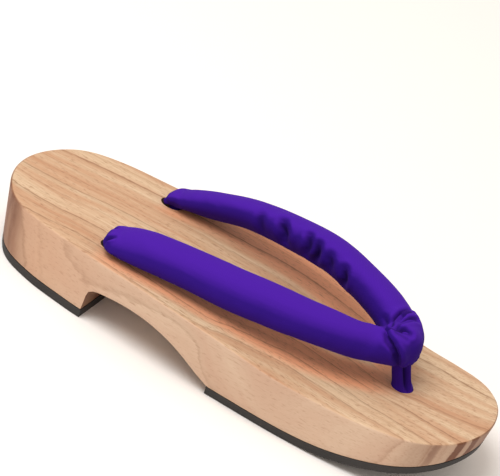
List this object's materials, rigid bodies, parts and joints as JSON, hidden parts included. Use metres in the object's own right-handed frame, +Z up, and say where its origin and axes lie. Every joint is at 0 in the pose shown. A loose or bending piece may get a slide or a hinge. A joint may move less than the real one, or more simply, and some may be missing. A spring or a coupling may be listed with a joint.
{
  "type": "geta sandal",
  "caption": "Low wooden geta sandal with a carved arch, rubber treads and a padded violet cloth thong strap.",
  "frame": {"origin": "on the floor under the middle of the sandal", "axes": "+X towards the toe, +Y towards the wearer's left, +Z up"},
  "size_m": [0.2462, 0.101, 0.0618],
  "materials": {
    "paulownia_wood": "planed and sanded, unvarnished",
    "black_rubber": "matt cut sheet",
    "violet_cotton": "plain woven cotton, stuffed"
  },
  "bodies": {
    "root": {"wood_base": "paulownia_wood", "rubber_tread_heel": "black_rubber", "rubber_tread_front": "black_rubber", "padded_strap": "violet_cotton", "toe_loop": "violet_cotton"}
  },
  "joints": []
}
